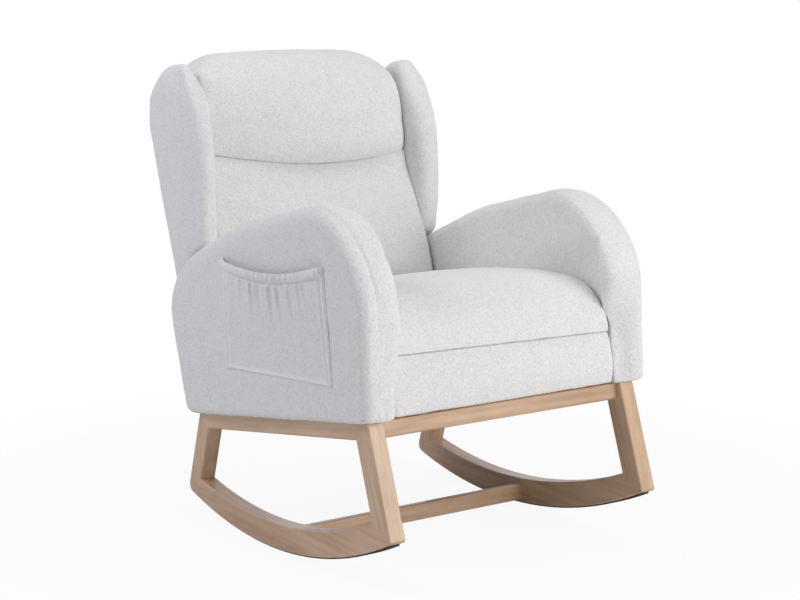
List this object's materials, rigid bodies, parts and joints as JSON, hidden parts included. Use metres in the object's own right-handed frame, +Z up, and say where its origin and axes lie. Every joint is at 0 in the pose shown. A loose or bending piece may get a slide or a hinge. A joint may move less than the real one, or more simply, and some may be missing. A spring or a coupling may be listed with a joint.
{
  "type": "rocking armchair with footrest",
  "caption": "Wing-back rocking armchair with thick padded arms, cloth side pockets, a wooden base on curved runners and a footrest that slides out under the seat.",
  "frame": {"origin": "on the floor, under the middle of the bounding box, with the chair at its rest tilt", "axes": "+Z up, -Y to the front of the seat, +X to the right as seen from the front"},
  "size_m": [0.702, 0.994, 0.9723],
  "materials": {
    "ash": "light straight-grained wood, satin lacquer",
    "dowel_wood": "fluted hardwood",
    "softwood": "sawn",
    "plywood": "sanded",
    "steel": "zinc plated",
    "boucle": "curly pile over foam",
    "strip_rubber": "matt",
    "webbing": "woven elastic",
    "felt": "needled felt",
    "dust_cloth": "thin non-woven"
  },
  "bodies": {
    "base": {"arm_bolts": "steel", "back_bolts": "steel", "back_bottom_rail": "softwood", "back_middle_rail": "softwood", "back_top_rail": "softwood", "back_webbing": "webbing", "back_wedges": "softwood", "bracket_screws": "steel", "corner_brackets": "steel", "dowels": "dowel_wood", "dust_cover": "dust_cloth", "front_cross_rail": "ash", "front_seat_rail": "softwood", "head_pillow": "boucle", "left_arm_pad": "boucle", "left_arm_panel": "plywood", "left_back_stile": "softwood", "left_front_leg": "ash", "left_pocket": "boucle", "left_rear_leg": "ash", "left_runner": "ash", "left_seat_board": "softwood", "left_side_rail": "ash", "left_wing_pad": "boucle", "left_wing_panel": "plywood", "lower_back_pad": "boucle", "lower_stretcher": "ash", "non_slip_strips": "strip_rubber", "outer_slides": "steel", "rear_cover": "boucle", "rear_cross_rail": "ash", "rear_seat_board": "softwood", "right_arm_pad": "boucle", "right_arm_panel": "plywood", "right_back_stile": "softwood", "right_front_leg": "ash", "right_pocket": "boucle", "right_rear_leg": "ash", "right_runner": "ash", "right_seat_board": "softwood", "right_side_rail": "ash", "right_wing_pad": "boucle", "right_wing_panel": "plywood", "seat_bolts": "steel", "seat_cushion": "boucle", "seat_deck": "felt", "seat_webbing": "webbing"},
    "middle_rails": {"middle_slides": "steel"},
    "footrest": {"inner_slides": "steel", "footrest_bars": "softwood", "footrest_platform": "plywood", "footrest_board": "plywood", "footrest_face": "boucle", "footrest_pad": "boucle"}
  },
  "joints": [
    {"name": "footrest_slide", "type": "slide", "parent": "base", "child": "footrest", "axis": [0, -0.9857, 0.1685], "range_m": [0, 0.32]},
    {"name": "middle_rail_slide", "type": "slide", "parent": "base", "child": "middle_rails", "axis": [0, -0.9857, 0.1685], "range_m": [0, 0.16]}
  ],
  "couplings": [
    {"joint": "middle_rail_slide", "follows": "footrest_slide", "ratio": 0.5}
  ]
}
